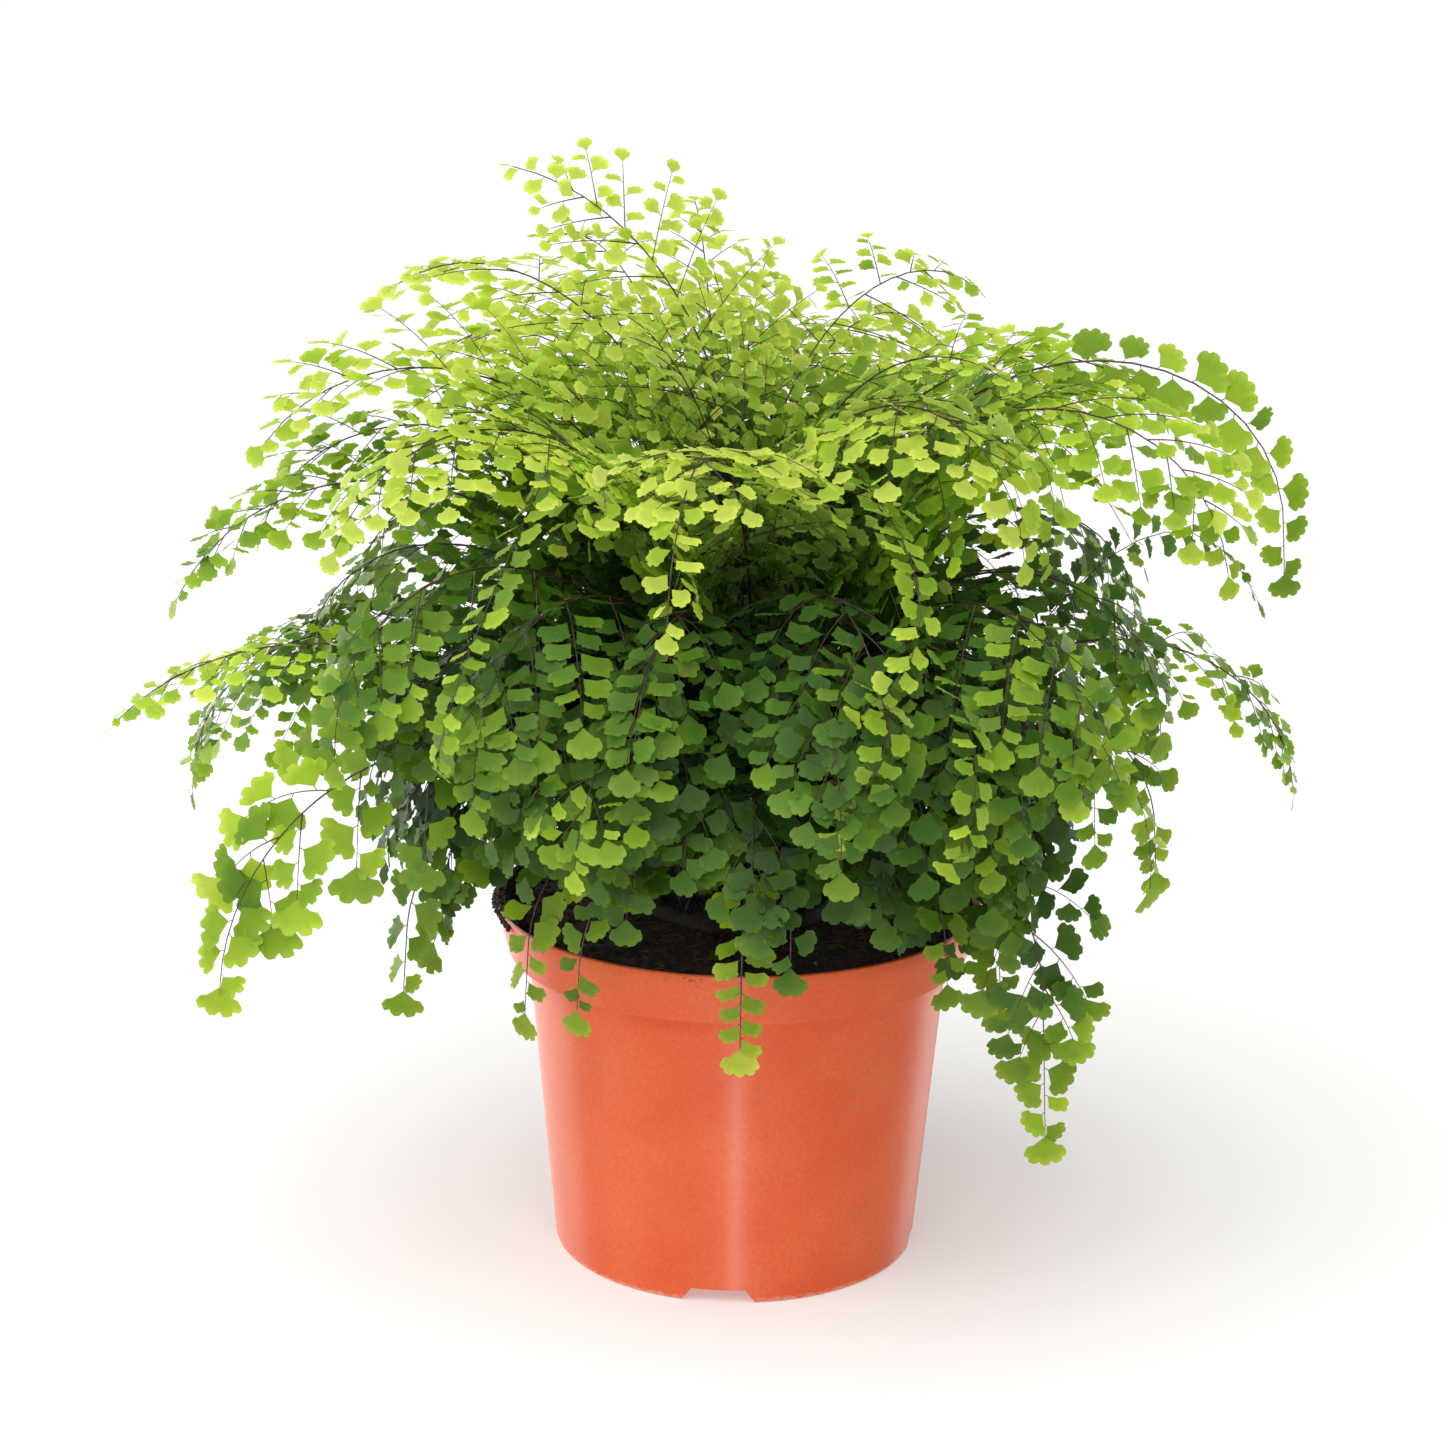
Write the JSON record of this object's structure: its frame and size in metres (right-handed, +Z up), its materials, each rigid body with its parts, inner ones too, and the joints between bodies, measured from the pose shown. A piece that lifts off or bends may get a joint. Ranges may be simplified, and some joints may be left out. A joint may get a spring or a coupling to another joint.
{
  "type": "potted maidenhair fern",
  "caption": "Maidenhair fern in a moulded nursery pot: black stems arch up from the soil and over the rim, carrying small fan-shaped green leaflets.",
  "frame": {"origin": "on the pot's axis, in the plane the pot stands on", "axes": "+Z up along the pot's axis; +X to the plant's right seen from its front, along its longest side; -Y towards the front"},
  "size_m": [0.4543, 0.3478, 0.4312],
  "materials": {
    "pot": "satin",
    "soil": "matte",
    "rhizome": "matte",
    "frond": "matte"
  },
  "bodies": {
    "root": {"pot": "pot", "soil": "soil", "rhizome": "rhizome", "frond_01": "frond", "frond_02": "frond", "frond_03": "frond", "frond_04": "frond", "frond_05": "frond", "frond_06": "frond", "frond_07": "frond", "frond_08": "frond", "frond_09": "frond", "frond_10": "frond", "frond_11": "frond", "frond_12": "frond", "frond_13": "frond", "frond_14": "frond", "frond_15": "frond", "frond_16": "frond", "frond_17": "frond", "frond_18": "frond", "frond_19": "frond", "frond_20": "frond", "frond_21": "frond", "frond_22": "frond", "frond_23": "frond", "frond_24": "frond", "frond_25": "frond", "frond_26": "frond", "frond_27": "frond", "frond_28": "frond", "frond_29": "frond", "frond_30": "frond", "frond_31": "frond", "frond_32": "frond", "frond_33": "frond", "frond_34": "frond", "frond_35": "frond", "frond_36": "frond", "frond_37": "frond", "frond_38": "frond", "frond_39": "frond", "frond_40": "frond", "frond_41": "frond", "frond_42": "frond", "frond_43": "frond", "frond_44": "frond", "frond_45": "frond", "frond_46": "frond", "frond_47": "frond", "frond_48": "frond", "frond_49": "frond", "frond_50": "frond", "frond_51": "frond", "frond_52": "frond", "frond_53": "frond", "frond_54": "frond", "frond_55": "frond", "frond_56": "frond", "frond_57": "frond"}
  },
  "joints": []
}
